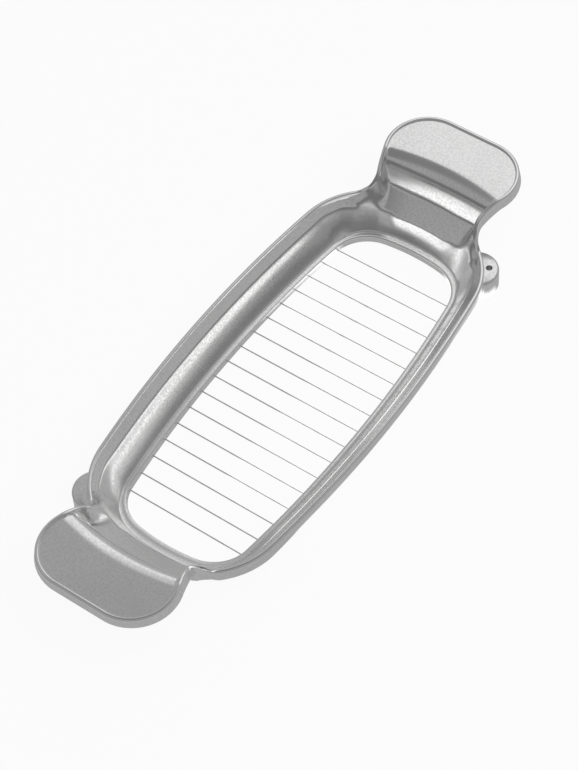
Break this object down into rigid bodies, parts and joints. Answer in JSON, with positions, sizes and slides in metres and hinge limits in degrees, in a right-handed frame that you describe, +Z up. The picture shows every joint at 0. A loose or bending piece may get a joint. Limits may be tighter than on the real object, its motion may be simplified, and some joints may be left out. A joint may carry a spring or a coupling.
{
  "type": "wire butter slicer",
  "caption": "Long cast aluminium tray with a hand grip at each end and parallel steel wires across its open floor, pressed down over butter to cut it into equal slices.",
  "frame": {"origin": "on the resting plane, under the middle of the wire-strung opening", "axes": "+X along the tray towards the grip beside the last wire's clamp, +Y across it, +Z up"},
  "size_m": [0.2462, 0.0846, 0.029],
  "materials": {
    "cast_aluminium": "satin as cast, lightly mottled",
    "steel_wire": "drawn bright wire",
    "screw_steel": "zinc plated",
    "washer_steel": "zinc plated"
  },
  "bodies": {
    "root": {"frame": "cast_aluminium", "cutting_wire_01": "steel_wire", "cutting_wire_02": "steel_wire", "cutting_wire_03": "steel_wire", "cutting_wire_04": "steel_wire", "cutting_wire_05": "steel_wire", "cutting_wire_06": "steel_wire", "cutting_wire_07": "steel_wire", "cutting_wire_08": "steel_wire", "cutting_wire_09": "steel_wire", "cutting_wire_10": "steel_wire", "cutting_wire_11": "steel_wire", "cutting_wire_12": "steel_wire", "cutting_wire_13": "steel_wire", "cutting_wire_14": "steel_wire", "cutting_wire_15": "steel_wire", "cutting_wire_16": "steel_wire", "cutting_wire_17": "steel_wire", "wire_returns_left": "steel_wire", "wire_returns_right": "steel_wire", "wire_tail_first": "steel_wire", "wire_tail_last": "steel_wire", "anchor_screws": "screw_steel", "clamp_washers": "washer_steel"}
  },
  "joints": []
}
